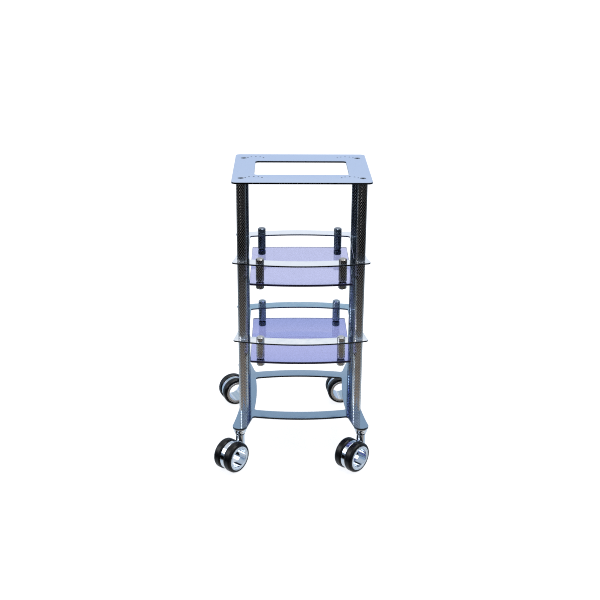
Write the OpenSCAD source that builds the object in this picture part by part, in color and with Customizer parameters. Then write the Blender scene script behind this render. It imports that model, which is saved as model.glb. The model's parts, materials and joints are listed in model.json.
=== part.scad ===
// Rolling salon trolley: mirror-polished plates on knurled columns, two tinted
// glass shelves on knurled posts, and four hubless twin-wheel swivel casters.
// Millimetres. +Z up, origin on the floor under the middle of the trolley,
// -Y is the front.

/* [Frame] */
// Width of the top plate
top_w = 360; // [330:1:440]
// Depth of the top plate
top_d = 311; // [290:1:380]
// Distance of each column axis from the middle, across
column_x = 157; // [130:1:165]
// Distance of each column axis from the middle, front to back
column_y = 110; // [95:1:120]
// Length of one column tube
tube_l = 218.5; // [150:0.5:300]
// Outer diameter of a column tube
tube_d = 25; // [18:0.5:30]
// Diameter of the thread bore in a column tube
tube_bore_d = 10; // [6:0.5:12]
// Chamfer at the ends of tubes and posts
end_chamfer = 1.2; // [0.4:0.1:2]

/* [Plates] */
// Thickness of the top plate
top_t = 4.5; // [3:0.5:8]
// Thickness of the two gallery rings
ring_t = 4; // [3:0.5:8]
// Thickness of the base plate
base_t = 5; // [4:0.5:8]
// Corner radius of the top plate
top_r = 13; // [4:1:20]
// Width of the window in the top plate
window_w = 247; // [160:1:260]
// Depth of the window in the top plate
window_d = 150; // [90:1:160]
// Corner radius of the windows
window_r = 9; // [3:1:14]
// Bow of the front and rear bars, from the middle to a column axis
bar_bow = 20; // [6:1:26]
// Width of a front or rear bar
bar_w = 39.5; // [34:0.5:46]
// Metal in front of a column axis at the side of a bar
bar_margin = 27; // [20:0.5:32]
// Metal between a column axis and the inside of a ring
side_inner = 16; // [14:0.5:20]
// Metal between a column axis and the outside of a ring at mid depth
side_outer = 11.5; // [8:0.5:16]
// How far a ring's pointed corners stand out beyond the column axis
tip_out = 27; // [22:0.5:34]
// Radius of a ring's pointed corners
tip_r = 8; // [4:1:12]

/* [Base] */
// Metal between a column axis and the inside of the base at mid depth
base_side_inner = 33; // [22:0.5:36]
// Distance of the caster stems beyond the columns, across
arm_x = 8; // [0:1:20]
// Distance of the caster stems beyond the columns, front to back
arm_y = 87; // [70:1:110]
// Radius of the round end of a caster arm
arm_r = 20; // [16:0.5:26]
// Where a front or rear bar ends, short of the column axis
bar_end_in = 26; // [20:1:36]

/* [Top plate details] */
// Number of dimples beside each top screw
dimple_n = 5; // [0:1:7]
// Diameter of a dimple
dimple_d = 5.5; // [2:0.5:6]
// Depth of a dimple
dimple_depth = 1.6; // [0.5:0.1:2.5]
// Radius of the arc that the dimples lie on
dimple_arc_r = 26; // [20:1:30]

/* [Shelves] */
// Gap between the glass and a column beside it
shelf_gap = 8; // [2:0.5:20]
// Depth of a glass shelf at its sides
shelf_d = 304; // [290:1:330]
// Bow of a shelf's front edge
shelf_bow_front = 11; // [0:0.5:20]
// Bow of a shelf's rear edge
shelf_bow_rear = 3; // [0:0.5:20]
// Thickness of the glass
shelf_t = 6; // [4:0.5:8]
// Drop from the top of a ring to the top of its glass
shelf_drop = 49.5; // [30:0.5:90]
// Corner radius of the glass
shelf_r = 5; // [2:0.5:10]

/* [Posts] */
// Distance of the posts from the sides of the glass
post_in = 27.5; // [20:0.5:40]
// Distance of the posts from the middle, front to back
post_y = 134.5; // [128:0.5:136]
// Diameter of a post
post_d = 22; // [14:0.5:24]
// Height of a post's cap above the ring
cap_h = 13.6; // [9:0.1:20]
// Height of a post's foot under the glass
foot_h = 14; // [10:0.5:24]
// Diameter of the stud through a post
stud_d = 8; // [5:0.5:10]
// Depth of the stud's thread in the cap and in the foot
stud_grip = 9; // [6:0.5:9]
// Thickness of the soft washers on both faces of the glass
washer_t = 0.8; // [0.5:0.1:2]

/* [Casters] */
// Diameter of a tyre
tyre_d = 84; // [70:1:90]
// Width of one tyre
tyre_w = 22; // [16:0.5:26]
// Height of the base plate's top above the floor
base_h = 118; // [116:0.5:150]
// Distance from the stem to the axle
trail = 36; // [34:0.5:44]
// Thickness of the band between the two tyres
band_w = 12.6; // [8:0.1:16]
// Diameter of the band between the two tyres
band_d = 78; // [68:0.5:78]
// Diameter of the open hole through the wheels
hub_hole_d = 52.4; // [40:0.1:54]
// Wall of the hub tube
hub_wall = 2.6; // [2:0.1:4]
// Diameter of the tyre's seat on its rim
rim_d = 67.2; // [66:0.1:68]
// Diameter of the swivel stem
stem_d = 12; // [8:0.5:12]
// Diameter of the neck of the yoke
neck_d = 24; // [20:0.5:26]
// Height of the boss under a caster arm
boss_h = 17; // [10:0.5:20]
// Thickness of the black dust seal
seal_t = 2; // [1:0.1:3]
// Swivel angle of the front left caster at rest
turn_front_left = 230; // [0:1:359]
// Swivel angle of the front right caster at rest
turn_front_right = 226; // [0:1:359]
// Swivel angle of the rear left caster at rest
turn_rear_left = 203; // [0:1:359]
// Swivel angle of the rear right caster at rest
turn_rear_right = 187; // [0:1:359]

/* [Fits] */
// Radial clearance of a running fit
run_fit = 0.06; // [0.03:0.01:0.09]
// Radial clearance round a thread or a shank
thread_fit = 0.05; // [0.03:0.01:0.2]
// Gap between parts that turn past each other
turn_gap = 0.6; // [0.4:0.1:1]
// Radial clearance of a stud in the glass
glass_fit = 1; // [0.5:0.1:2]

/* [Hidden] */
$fn = 64;
round_step = 12;   // degrees between points of a small round corner
bow_parts = 14;    // pieces along half of a bowed edge
eps = 0.01;

// heights of the plates' top faces
lower_ring_z = base_h + tube_l + ring_t;
upper_ring_z = lower_ring_z + tube_l + ring_t;
top_z = upper_ring_z + tube_l + top_t;

// bowed bars, shared by the rings and the base
bar_outer_mid = column_y + bar_margin + bar_bow;
bar_inner_mid = bar_outer_mid - bar_w;
bow_r = (pow(column_x, 2) + pow(bar_bow, 2)) / (2 * bar_bow);

// rings
ring_tip_x = column_x + tip_out;
ring_inner_x = column_x - side_inner;
ring_mid_x = column_x + side_outer;

// shelves and posts
shelf_w = 2 * (column_x - tube_d / 2 - shelf_gap);
post_x = shelf_w / 2 - post_in;

// base and casters
stem_x = column_x + arm_x;
stem_y = column_y + arm_y;
bar_end_x = column_x - bar_end_in;
base_inner_x = column_x - base_side_inner;
base_corner_x = bar_end_x - 2;
boss_top_z = base_h - base_t;
boss_bottom_z = boss_top_z - boss_h;
yoke_top_z = boss_bottom_z - seal_t - turn_gap;
boss_r = neck_d / 2 + 0.6;
stem_sink = 3;                  // depth of the stem's seat in the base plate
stem_l = 30;                    // length of the stem below the dust seal
axle_z = tyre_d / 2;
hub_r = hub_hole_d / 2 + hub_wall;
tyre_in = band_w / 2 + turn_gap;
tyre_out = tyre_in + tyre_w;
lock_w = 2.2;                   // width of a retaining ring
lock_over = 1.8;                // how far it stands over the rim
hub_end = tyre_out - 1.4;
lock_r = hub_r + lock_over;
tyre_chamfer = 4.2;

// fasteners
head_h = 2.8;
head_d = tube_bore_d + 2 * head_h;   // 90 degree countersunk head
socket_d = 7;
socket_depth = 2;
screw_grip = 26;
ring_stud_l = 2 * 20 + ring_t;

// posts
spacer_l = shelf_drop - ring_t - washer_t;
cap_chamfer = 2.2;
washer_d = 18;

ALONG = ["front", "rear"];
SIDES = ["left", "right"];
LEVELS = ["lower", "middle", "upper"];
CORNERS = [for (a = ALONG) for (s = SIDES) str(a, "_", s)];
COLUMNS = [for (l = LEVELS) for (c = CORNERS) str(l, "_column_", c)];
SHELF_NODES = ["glass_shelf", "post_caps", "post_spacers", "post_feet", "post_studs", "glass_washers"];
CASTER_NODES = ["yoke", "retaining_rings", "tyre_1", "tyre_2", "rim_1", "rim_2"];

// ---------- outlines ----------

// points of an arc with centre c, from angle a0 to angle a1
function arc(c, r, a0, a1) =
    let (n = max(2, ceil(abs(a1 - a0) / round_step)))
    [for (i = [0:n]) c + r * [cos(a0 + (a1 - a0) * i / n), sin(a0 + (a1 - a0) * i / n)]];

// the corner p between its neighbours a and b, rounded to radius r
function rounded(a, p, b, r) =
    let (
        u = (a - p) / norm(a - p),
        v = (b - p) / norm(b - p),
        half = acos(u * v) / 2,
        m = (u + v) / norm(u + v),
        c = p + m * r / sin(half),
        f = p + u * r / tan(half) - c,
        g = p + v * r / tan(half) - c,
        a0 = atan2(f[1], f[0]),
        turn = atan2(f[0] * g[1] - f[1] * g[0], f * g)
    )
    arc(c, r, a0, a0 + turn);

// height at x of an arch whose crown is at y and which drops by bow at half-width w
function arch(x, y, w, bow) =
    let (r = (w * w + bow * bow) / (2 * bow))
    y - r + sqrt(r * r - x * x);

// outline of all four quarters from the quarter that runs from +Y round to +X
function backwards(q) = [for (i = [len(q) - 1:-1:0]) q[i]];
function four_ways(q) = concat(
    q,
    backwards([for (p = q) [p[0], -p[1]]]),
    [for (p = q) [-p[0], -p[1]]],
    backwards([for (p = q) [-p[0], p[1]]])
);

// quarter of a frame: a bowed bar, one rounded corner at p, and a side that is
// bow deeper at mid depth than at the corner
function quarter(p, bar_y, side_x, r) =
    let (
        step = p[0] / bow_parts,
        bar = [for (i = [0:bow_parts - 2]) [i * step, arch(i * step, bar_y, p[0], bar_y - p[1])]],
        lean = p[0] - side_x,
        side = [for (i = [2:bow_parts]) let (y = p[1] * (1 - i / bow_parts))
            [side_x + lean * pow(y / p[1], 2), y]]
    )
    concat(bar, rounded(bar[len(bar) - 1], p, side[0], r), side);

module window_shape() {
    w = window_w / 2 - window_r;
    d = window_d / 2 - window_r;
    polygon(four_ways(arc([w, d], window_r, 90, 0)));
}

module ring_shape() {
    tip_y = arch(ring_tip_x, bar_outer_mid, column_x, bar_bow);
    inner_y = arch(ring_inner_x, bar_inner_mid, column_x, bar_bow);
    difference() {
        polygon(four_ways(quarter([ring_tip_x, tip_y], bar_outer_mid, ring_mid_x, tip_r)));
        polygon(four_ways(quarter([ring_inner_x, inner_y], bar_inner_mid, ring_inner_x - eps, window_r)));
    }
}

// quarter of the base's outside: bowed bar, notch, round caster arm, waisted side
function base_quarter() =
    let (
        step = bar_end_x / bow_parts,
        bar = [for (i = [0:bow_parts - 1]) [i * step, arch(i * step, bar_outer_mid, column_x, bar_bow)]],
        notch = [bar_end_x, arch(bar_end_x, bar_outer_mid, column_x, bar_bow)],
        arm = arc([stem_x, stem_y], arm_r, 170, 0),
        waist = arm_r - 1,
        side = [for (i = [1:bow_parts]) let (t = 1 - i / bow_parts)
            [stem_x + arm_r - waist * (1 - t * t), stem_y * t]]
    )
    concat(bar, rounded(bar[len(bar) - 1], notch, arm[0], 7), arm, side);

module base_shape() {
    corner_y = arch(base_corner_x, bar_inner_mid, column_x, bar_bow);
    difference() {
        polygon(four_ways(base_quarter()));
        polygon(four_ways(quarter([base_corner_x, corner_y], bar_inner_mid, base_inner_x, window_r)));
    }
}

function shelf_edge(sign, bow) =
    let (
        w = shelf_w / 2,
        y = shelf_d / 2,
        step = w / bow_parts,
        edge = [for (i = [0:bow_parts - 1]) [i * step, arch(i * step, y + bow, w, bow + eps)]],
        corner = rounded(edge[len(edge) - 1], [w, y], [w, 0], shelf_r),
        half = concat(edge, corner)
    )
    [for (p = half) [p[0], sign * p[1]]];

module shelf_shape() {
    right = concat(shelf_edge(1, shelf_bow_rear), backwards(shelf_edge(-1, shelf_bow_front)));
    polygon(concat(right, backwards([for (p = right) [-p[0], p[1]]])));
}

// ---------- placing ----------

module at_columns() {
    for (sy = [-1, 1]) for (sx = [-1, 1])
        translate([sx * column_x, sy * column_y, 0]) children();
}

module at_posts() {
    for (sy = [-1, 1]) for (sx = [-1, 1])
        translate([sx * post_x, sy * post_y, 0]) children();
}

module at_stems() {
    for (sy = [-1, 1]) for (sx = [-1, 1])
        translate([sx * stem_x, sy * stem_y, 0]) children();
}

// a round piece with a chamfer at each end and a bore all the way
module sleeve(d, l, bore_d, c_low, c_high) {
    rotate_extrude()
        polygon([
            [bore_d / 2, 0],
            [d / 2 - c_low, 0],
            [d / 2, c_low],
            [d / 2, l - c_high],
            [d / 2 - c_high, l],
            [bore_d / 2, l]
        ]);
}

// ---------- plates ----------

module top_plate() {
    corner = [top_w / 2 - top_r, top_d / 2 - top_r];
    color("lightsteelblue")
    difference() {
        translate([0, 0, top_z - top_t])
            linear_extrude(top_t)
                difference() {
                    polygon(four_ways(arc(corner, top_r, 90, 0)));
                    window_shape();
                }
        at_columns()
            translate([0, 0, top_z]) screw_hole(top_t);
        for (sy = [-1, 1]) for (sx = [-1, 1])
            translate([sx * column_x, sy * column_y, top_z - dimple_depth])
                dimples(-sx);
    }
}

// dimples on an arc beside a top screw, on the side that dir points to
module dimples(dir) {
    spread = 112;
    for (i = [0:1:dimple_n - 1]) {
        a = 90 + spread * (i / max(1, dimple_n - 1) - 0.5);
        x = dimple_arc_r * (1.27 + cos(a));
        y = dimple_arc_r * (sin(a) - 0.35);
        translate([dir * x, y, 0])
            cylinder(d = dimple_d, h = dimple_depth + 1, $fn = 24);
    }
}

module gallery_ring(z) {
    color("lightsteelblue")
    difference() {
        translate([0, 0, z - ring_t])
            linear_extrude(ring_t) ring_shape();
        at_columns()
            translate([0, 0, z - ring_t - 1])
                cylinder(d = tube_bore_d, h = ring_t + 2);
        at_posts()
            translate([0, 0, z - ring_t - 1])
                cylinder(d = stud_d + 2 * thread_fit, h = ring_t + 2);
    }
}

module base_plate() {
    color("slategray")
    difference() {
        translate([0, 0, base_h - base_t])
            linear_extrude(base_t) base_shape();
        at_columns()
            translate([0, 0, base_h - base_t])
                rotate([180, 0, 0]) screw_hole(base_t);
        at_stems()
            translate([0, 0, base_h - base_t - 1])
                cylinder(d = stem_d + 2 * thread_fit, h = stem_sink + 1);
    }
}

// ---------- columns and their fasteners ----------

// level 0 is the lowest of the three tubes in a column
module column(level, sx, sy) {
    z = base_h + level * (tube_l + ring_t);
    color("silver")
    translate([sx * column_x, sy * column_y, z])
        sleeve(tube_d, tube_l, tube_bore_d, end_chamfer, end_chamfer);
}

// countersunk screw with a hexagon socket; its head's top is at z = 0
module socket_screw() {
    shank_r = tube_bore_d / 2 - thread_fit;
    difference() {
        rotate_extrude()
            polygon([
                [0, -screw_grip],
                [shank_r - 1, -screw_grip],
                [shank_r, 1 - screw_grip],
                [shank_r, -head_h - thread_fit],
                [head_d / 2 - thread_fit, 0],
                [0, 0]
            ]);
        translate([0, 0, -socket_depth])
            cylinder(d = socket_d, h = socket_depth + 1, $fn = 6);
    }
}

// the hole that it takes, in a plate of thickness t whose face is at z = 0
module screw_hole(t) {
    rotate_extrude()
        polygon([
            [0, -t - 1],
            [tube_bore_d / 2, -t - 1],
            [tube_bore_d / 2, -head_h],
            [head_d / 2, 0],
            [head_d / 2, 1],
            [0, 1]
        ]);
}

module top_screws() {
    color("gainsboro")
    at_columns()
        translate([0, 0, top_z]) socket_screw();
}

module base_screws() {
    color("gainsboro")
    at_columns()
        translate([0, 0, base_h - base_t])
            rotate([180, 0, 0]) socket_screw();
}

module ring_studs(z) {
    color("dimgray")
    at_columns()
        translate([0, 0, z - ring_t / 2 - ring_stud_l / 2])
            cylinder(d = tube_bore_d - 2 * thread_fit, h = ring_stud_l);
}

// ---------- glass shelves and their posts; z is the top face of the ring ----------

module glass_shelf(z) {
    color("thistle", 0.6)
    difference() {
        translate([0, 0, z - shelf_drop - shelf_t])
            linear_extrude(shelf_t) shelf_shape();
        at_posts()
            translate([0, 0, z - shelf_drop - shelf_t - 1])
                cylinder(d = stud_d + 2 * glass_fit, h = shelf_t + 2);
    }
}

module post_caps(z) {
    color("silver")
    at_posts()
        translate([0, 0, z])
            difference() {
                sleeve(post_d, cap_h, 0, end_chamfer, cap_chamfer);
                translate([0, 0, -1])
                    cylinder(d = stud_d + 2 * thread_fit, h = stud_grip + 1.5);
            }
}

module post_spacers(z) {
    color("silver")
    at_posts()
        translate([0, 0, z - ring_t - spacer_l])
            sleeve(post_d, spacer_l, stud_d + 2 * thread_fit, end_chamfer, end_chamfer);
}

module post_feet(z) {
    color("silver")
    at_posts()
        translate([0, 0, z - shelf_drop - shelf_t - washer_t - foot_h])
            difference() {
                sleeve(post_d, foot_h, 0, cap_chamfer, end_chamfer);
                translate([0, 0, foot_h - stud_grip - 0.5])
                    cylinder(d = stud_d + 2 * thread_fit, h = stud_grip + 1.5);
            }
}

module post_studs(z) {
    low = z - shelf_drop - shelf_t - washer_t - stud_grip;
    color("dimgray")
    at_posts()
        translate([0, 0, low])
            cylinder(d = stud_d, h = z + stud_grip - low);
}

module glass_washers(z) {
    color("dimgray")
    at_posts()
        for (face_z = [z - shelf_drop, z - shelf_drop - shelf_t - washer_t])
            translate([0, 0, face_z])
                sleeve(washer_d, washer_t, stud_d + 2 * thread_fit, 0, 0);
}

// ---------- casters ----------

// bowl-shaped boss that carries the stem under a caster arm
module caster_bosses() {
    bore_r = stem_d / 2 + thread_fit;
    color("silver")
    at_stems()
        translate([0, 0, boss_bottom_z])
            rotate_extrude()
                polygon([
                    [bore_r, 0],
                    [boss_r, 0],
                    [boss_r + (arm_r - boss_r) * 0.46, boss_h * 0.28],
                    [boss_r + (arm_r - boss_r) * 0.57, boss_h * 0.62],
                    [arm_r - 0.6, boss_h * 0.84],
                    [arm_r - 0.6, boss_h],
                    [bore_r, boss_h]
                ]);
}

module caster_seals() {
    color("black")
    at_stems()
        translate([0, 0, boss_bottom_z - seal_t])
            sleeve(2 * boss_r + 0.8, seal_t, stem_d + 2 * thread_fit, 0.4, 0.4);
}

module caster_stems() {
    low = yoke_top_z - stem_l;
    color("dimgray")
    at_stems()
        translate([0, 0, low])
            cylinder(d = stem_d, h = boss_top_z + stem_sink - low);
}

// stem axis on Z, wheels trailing along +X, axle along Y
module at_caster(sx, sy, turn) {
    translate([sx * stem_x, sy * stem_y, 0])
        rotate([0, 0, turn]) children();
}

// a ring round the axle, from y0 to y1, as a profile of [radius, y] points
module on_axle(points) {
    translate([trail, 0, axle_z])
        rotate([-90, 0, 0])
            rotate_extrude($fn = 128) polygon(points);
}

module yoke() {
    neck_low = axle_z + 6;
    neck_top = yoke_top_z;
    color("silver")
    difference() {
        union() {
            on_axle([
                [hub_hole_d / 2, -hub_end],
                [hub_r, -hub_end],
                [hub_r, -band_w / 2],
                [band_d / 2 - 1, -band_w / 2],
                [band_d / 2, 1 - band_w / 2],
                [band_d / 2, band_w / 2 - 1],
                [band_d / 2 - 1, band_w / 2],
                [hub_r, band_w / 2],
                [hub_r, hub_end],
                [hub_hole_d / 2, hub_end]
            ]);
            difference() {
                translate([0, 0, neck_low])
                    rotate_extrude()
                        polygon([
                            [0, 0],
                            [neck_d / 2 - 5, 0],
                            [neck_d / 2, 9],
                            [neck_d / 2, neck_top - neck_low - 1],
                            [neck_d / 2 - 1, neck_top - neck_low],
                            [0, neck_top - neck_low]
                        ]);
                for (s = [-1, 1])
                    on_axle([
                        [0, s * band_w / 2],
                        [tyre_d / 2 + 1.2, s * band_w / 2],
                        [tyre_d / 2 + 1.2, s * (tyre_out + 2)],
                        [0, s * (tyre_out + 2)]
                    ]);
                on_axle([
                    [0, -band_w],
                    [hub_r, -band_w],
                    [hub_r, band_w],
                    [0, band_w]
                ]);
            }
        }
        translate([0, 0, neck_top - stem_l - 1])
            cylinder(d = stem_d + 2 * run_fit, h = stem_l + 2);
    }
}

module retaining_rings() {
    color("silver")
    for (s = [-1, 1])
        on_axle([
            [hub_hole_d / 2, s * hub_end],
            [lock_r, s * hub_end],
            [lock_r, s * (hub_end + lock_w - 0.8)],
            [lock_r - 1.4, s * (hub_end + lock_w)],
            [hub_hole_d / 2 + 0.6, s * (hub_end + lock_w)],
            [hub_hole_d / 2, s * (hub_end + lock_w - 0.6)]
        ]);
}

// side is -1 or 1 along the axle
module rim(side) {
    color("gainsboro")
    on_axle([
        [hub_r + run_fit, side * tyre_in],
        [rim_d / 2, side * tyre_in],
        [rim_d / 2, side * (tyre_out + 0.2)],
        [rim_d / 2 - 0.9, side * (tyre_out + 0.8)],
        [lock_r + turn_gap, side * (hub_end - 0.2)],
        [lock_r + turn_gap, side * (hub_end - 0.5)],
        [hub_r + run_fit, side * (hub_end - 0.5)]
    ]);
}

module tyre(side) {
    color("black")
    on_axle([
        [rim_d / 2, side * tyre_in],
        [tyre_d / 2 - tyre_chamfer * 0.6, side * tyre_in],
        [tyre_d / 2 - tyre_chamfer * 0.15, side * (tyre_in + tyre_chamfer * 0.35)],
        [tyre_d / 2, side * (tyre_in + tyre_chamfer)],
        [tyre_d / 2, side * (tyre_out - tyre_chamfer)],
        [tyre_d / 2 - tyre_chamfer * 0.3, side * (tyre_out - tyre_chamfer * 0.3)],
        [tyre_d / 2 - tyre_chamfer, side * tyre_out],
        [rim_d / 2, side * tyre_out]
    ]);
}

module caster_node(piece) {
    if (piece == "yoke") yoke();
    if (piece == "retaining_rings") retaining_rings();
    if (piece == "tyre_1") tyre(1);
    if (piece == "tyre_2") tyre(-1);
    if (piece == "rim_1") rim(1);
    if (piece == "rim_2") rim(-1);
}

module shelf_node(piece, z) {
    if (piece == "glass_shelf") glass_shelf(z);
    if (piece == "post_caps") post_caps(z);
    if (piece == "post_spacers") post_spacers(z);
    if (piece == "post_feet") post_feet(z);
    if (piece == "post_studs") post_studs(z);
    if (piece == "glass_washers") glass_washers(z);
}

// ---------- nodes ----------

top_plate();
top_screws();
gallery_ring(upper_ring_z);  // upper_ring
gallery_ring(lower_ring_z);  // lower_ring
base_plate();
ring_studs(upper_ring_z);  // upper_ring_studs
ring_studs(lower_ring_z);  // lower_ring_studs
base_screws();
caster_bosses();
caster_stems();
caster_seals();

for (level = [0:2]) for (a = [0, 1]) for (s = [0, 1])
    column(level, 2 * s - 1, 2 * a - 1);

for (piece = SHELF_NODES) {
    shelf_node(piece, lower_ring_z);
    shelf_node(piece, upper_ring_z);
}

turns = [[turn_front_left, turn_front_right], [turn_rear_left, turn_rear_right]];
for (a = [0, 1]) for (s = [0, 1]) for (piece = CASTER_NODES)
    at_caster(2 * s - 1, 2 * a - 1, turns[a][s]) caster_node(piece);
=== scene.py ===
import json
import math

import bmesh
import bpy
import numpy as np
from mathutils import Matrix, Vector
from mathutils.geometry import delaunay_2d_cdt


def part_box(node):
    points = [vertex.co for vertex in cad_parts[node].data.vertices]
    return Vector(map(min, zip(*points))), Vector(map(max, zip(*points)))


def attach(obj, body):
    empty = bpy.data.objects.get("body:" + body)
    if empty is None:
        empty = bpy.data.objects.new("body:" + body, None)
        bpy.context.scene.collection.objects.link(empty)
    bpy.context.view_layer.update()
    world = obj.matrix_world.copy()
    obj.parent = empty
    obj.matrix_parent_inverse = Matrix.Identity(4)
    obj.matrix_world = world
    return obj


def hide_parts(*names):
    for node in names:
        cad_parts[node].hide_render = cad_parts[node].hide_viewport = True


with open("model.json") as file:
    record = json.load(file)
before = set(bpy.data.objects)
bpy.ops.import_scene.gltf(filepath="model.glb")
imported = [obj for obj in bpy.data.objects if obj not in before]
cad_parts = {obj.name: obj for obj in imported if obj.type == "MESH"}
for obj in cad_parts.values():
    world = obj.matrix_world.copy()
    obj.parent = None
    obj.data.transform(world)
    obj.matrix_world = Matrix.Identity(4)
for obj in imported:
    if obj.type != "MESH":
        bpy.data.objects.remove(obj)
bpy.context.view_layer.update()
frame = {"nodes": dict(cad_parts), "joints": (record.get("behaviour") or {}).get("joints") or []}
joints = {joint["name"]: joint for joint in frame["joints"]}
mm = 0.001
corners = ["front_left", "front_right", "rear_left", "rear_right"]
levels = ["lower", "middle", "upper"]


def boxOf(node):
    low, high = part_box(node)
    return np.array(low), np.array(high)


# where things are, read from the frame

columnLow, columnHigh = boxOf("upper_column_front_right")
columnX, columnY = (columnLow + columnHigh)[:2] / 2 * [1, -1]
postHigh = boxOf("upper_post_caps")[1]
postRadius = 11 * mm
postX, postY = postHigh[:2] - postRadius
stemX, stemY = abs(joints["front_right_swivel"]["pos_m"][0]), abs(joints["front_right_swivel"]["pos_m"][1])
tubeBore = 5 * mm        # radius of the thread in a column
postBore = 4.05 * mm     # a post's stud and its clearance
postGrip = 9.5 * mm      # how far the stud's hole runs into a cap or a foot
stemBore = 6.05 * mm     # the swivel stem and its clearance
stemSink = 3 * mm        # the stem's seat in the base plate


# colour and shader helpers

def linearColour(text):
    # sRGB hex to linear: the low end is a straight line, the rest a 2.4 power
    srgb = np.array([int(text[i:i + 2], 16) for i in (1, 3, 5)]) / 255
    value = np.where(srgb <= 0.04045, srgb / 12.92, ((srgb + 0.055) / 1.055) ** 2.4)
    return (*value.tolist(), 1.0)


def addNode(tree, kind, settings=None, inputs=None):
    # a new node with its settings, and each input set to a value or linked from a socket
    node = tree.nodes.new(kind)
    for key, value in (settings or {}).items():
        setattr(node, key, value)
    for key, value in (inputs or {}).items():
        if isinstance(value, bpy.types.NodeSocket):
            tree.links.new(value, node.inputs[key])
        else:
            node.inputs[key].default_value = value
    return node


def newMaterial(name):
    material = bpy.data.materials.new(name)
    material.use_nodes = True
    material.node_tree.nodes.clear()
    return material, material.node_tree


def finishMaterial(tree, shader):
    addNode(tree, "ShaderNodeOutputMaterial", inputs={"Surface": shader.outputs["BSDF"]})


# materials

polishSettings = {
    "smudgeSize": 60,      # soft wipe marks, about 16 mm across
    "grainSize": 900,      # polishing grain, drawn at about 1 mm so that it shows
    "bumpHeight": 0.01 * mm,
}


def polishedMetal(name, colour, darker, roughLow, roughHigh):
    # mirror-polished chromed steel: a cool metal whose gloss is broken only by faint wipe
    # marks, so the eye reads a hard, clean mirror
    material, tree = newMaterial(name)
    place = addNode(tree, "ShaderNodeTexCoord").outputs["Object"]
    smudge = addNode(tree, "ShaderNodeTexNoise", inputs={
        "Vector": place, "Scale": polishSettings["smudgeSize"], "Detail": 3.0, "Roughness": 0.6})
    grain = addNode(tree, "ShaderNodeTexNoise", inputs={
        "Vector": place, "Scale": polishSettings["grainSize"], "Detail": 2.0})
    rough = addNode(tree, "ShaderNodeMapRange", inputs={
        "Value": smudge.outputs["Fac"], "From Min": 0.35, "From Max": 0.75,
        "To Min": roughLow, "To Max": roughHigh})
    tone = addNode(tree, "ShaderNodeMix", {"data_type": "RGBA"}, {
        "Factor": smudge.outputs["Fac"], "A": linearColour(colour), "B": linearColour(darker)})
    bump = addNode(tree, "ShaderNodeBump", inputs={
        "Height": grain.outputs["Fac"], "Strength": 0.12, "Distance": polishSettings["bumpHeight"]})
    shader = addNode(tree, "ShaderNodeBsdfPrincipled", inputs={
        "Base Color": tone.outputs[2], "Metallic": 1.0, "Roughness": rough.outputs["Result"],
        "Normal": bump.outputs["Normal"]})
    finishMaterial(tree, shader)
    return material


# painted reflection: the knurl's colour is graded over these heights and cooled towards the rear
knurlGrade = {"low": 0.15, "high": 0.6, "front": -0.08, "rear": 0.08, "rearTint": "#b3c6dc"}


def knurledMetal(name, crest, floorCrest, groove, floorGroove, dirt):
    # diamond-cut bright plating: the bright grooves and the darker faces between them are a painted
    # reflection, so that each diamond reads on its own. The colour is graded by height and cooled towards
    # the rear, a painted stand-in for what the plating mirrors; equal crest and floorCrest, equal groove and
    # floorGroove and a white rearTint give every column one finish
    material, tree = newMaterial(name)
    place = addNode(tree, "ShaderNodeTexCoord").outputs["Object"]
    height = addNode(tree, "ShaderNodeSeparateXYZ", inputs={"Vector": place})
    rise = addNode(tree, "ShaderNodeMapRange", inputs={
        "Value": height.outputs["Z"], "From Min": knurlGrade["low"], "From Max": knurlGrade["high"]})
    face = addNode(tree, "ShaderNodeMix", {"data_type": "RGBA"}, {
        "Factor": rise.outputs["Result"], "A": linearColour(floorCrest), "B": linearColour(crest)})
    trough = addNode(tree, "ShaderNodeMix", {"data_type": "RGBA"}, {
        "Factor": rise.outputs["Result"], "A": linearColour(floorGroove), "B": linearColour(groove)})
    relief = addNode(tree, "ShaderNodeAttribute", {"attribute_name": "relief"})
    patch = addNode(tree, "ShaderNodeTexNoise", inputs={"Vector": place, "Scale": 45.0, "Detail": 3.0})
    cut = addNode(tree, "ShaderNodeMapRange", inputs={
        "Value": relief.outputs["Fac"], "From Min": 0.1, "From Max": 0.6})
    tone = addNode(tree, "ShaderNodeMix", {"data_type": "RGBA"}, {
        "Factor": cut.outputs["Result"], "A": trough.outputs[2], "B": face.outputs[2]})
    toRear = addNode(tree, "ShaderNodeMapRange", inputs={
        "Value": height.outputs["Y"], "From Min": knurlGrade["front"], "From Max": knurlGrade["rear"]})
    cooled = addNode(tree, "ShaderNodeMix", {"data_type": "RGBA", "blend_type": "MULTIPLY"}, {
        "Factor": toRear.outputs["Result"], "A": tone.outputs[2], "B": linearColour(knurlGrade["rearTint"])})
    worn = addNode(tree, "ShaderNodeMix", {"data_type": "RGBA", "blend_type": "MULTIPLY"}, {
        "Factor": patch.outputs["Fac"], "A": cooled.outputs[2], "B": linearColour(dirt)})
    rough = addNode(tree, "ShaderNodeMapRange", inputs={
        "Value": relief.outputs["Fac"], "From Min": 0.1, "From Max": 0.6, "To Min": 0.12, "To Max": 0.06})
    shader = addNode(tree, "ShaderNodeBsdfPrincipled", inputs={
        "Base Color": worn.outputs[2], "Metallic": 1.0, "Roughness": rough.outputs["Result"]})
    finishMaterial(tree, shader)
    return material


# painted shade: the lower shelf's glass is given a deeper lilac than the upper's
glassGrade = {"low": 0.29, "high": 0.51, "lowerTint": "#9298ca", "upperTint": "#a7abd2"}


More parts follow.
